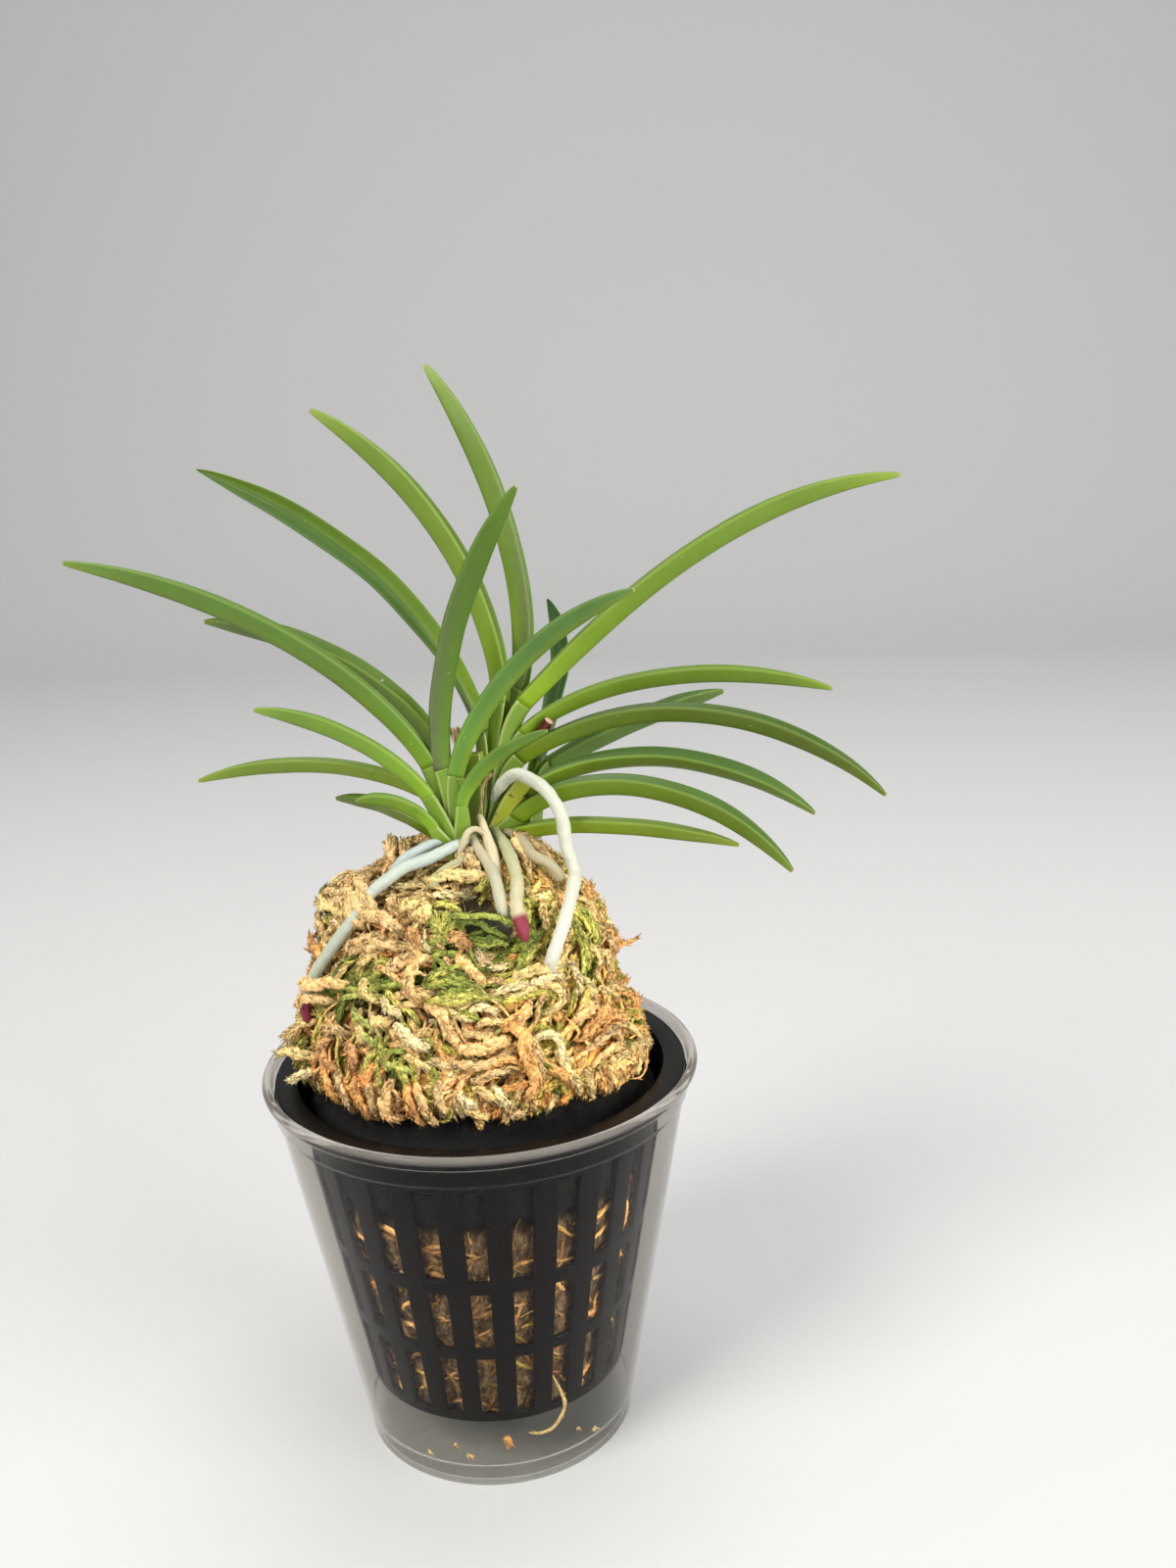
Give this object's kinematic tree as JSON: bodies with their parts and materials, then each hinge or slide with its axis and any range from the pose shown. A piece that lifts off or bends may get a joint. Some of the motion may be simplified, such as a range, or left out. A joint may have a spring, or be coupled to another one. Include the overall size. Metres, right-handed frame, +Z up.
{
  "type": "wind orchid in a pot",
  "caption": "Small epiphytic orchid with fans of keeled arching leaves and silver aerial roots on a tall moss mound, in a slotted net pot standing inside a clear tapered cup.",
  "frame": {"origin": "centre of the flat underside of the clear cup, on the surface it stands on", "axes": "+Z up along the common axis of the two pots, +X towards the tip of the longest leaf, -Y towards the side where the longest aerial root hangs"},
  "size_m": [0.1592, 0.09, 0.2233],
  "materials": {
    "clear_plastic": "clear, glossy",
    "black_plastic": "satin",
    "dried_moss": "matte, fibrous",
    "leaf_sheath": "satin",
    "leaf_blade": "satin",
    "aerial_root": "matte",
    "flower_stem": "satin",
    "dry_sheath": "matte"
  },
  "bodies": {
    "root": {"clear_cup": "clear_plastic", "net_pot": "black_plastic", "moss_mound": "dried_moss", "left_growth_stem": "leaf_sheath", "main_growth_stem": "leaf_sheath", "back_growth_stem": "leaf_sheath", "cut_flower_stem": "flower_stem", "dry_sheath_1": "dry_sheath", "dry_sheath_2": "dry_sheath", "leaf_left_01": "leaf_blade", "leaf_left_02": "leaf_blade", "leaf_left_03": "leaf_blade", "leaf_left_04": "leaf_blade", "leaf_left_05": "leaf_blade", "leaf_left_06": "leaf_blade", "leaf_left_07": "leaf_blade", "leaf_left_08": "leaf_blade", "leaf_left_09": "leaf_blade", "leaf_main_01": "leaf_blade", "leaf_main_02": "leaf_blade", "leaf_main_03": "leaf_blade", "leaf_main_04": "leaf_blade", "leaf_main_05": "leaf_blade", "leaf_main_06": "leaf_blade", "leaf_main_07": "leaf_blade", "leaf_main_08": "leaf_blade", "leaf_main_09": "leaf_blade", "leaf_back_01": "leaf_blade", "leaf_back_02": "leaf_blade", "root_01": "aerial_root", "root_02": "aerial_root", "root_03": "aerial_root", "root_04": "aerial_root", "root_05": "aerial_root", "root_06": "aerial_root", "root_07": "aerial_root", "root_08": "aerial_root", "root_09": "aerial_root"}
  },
  "joints": []
}
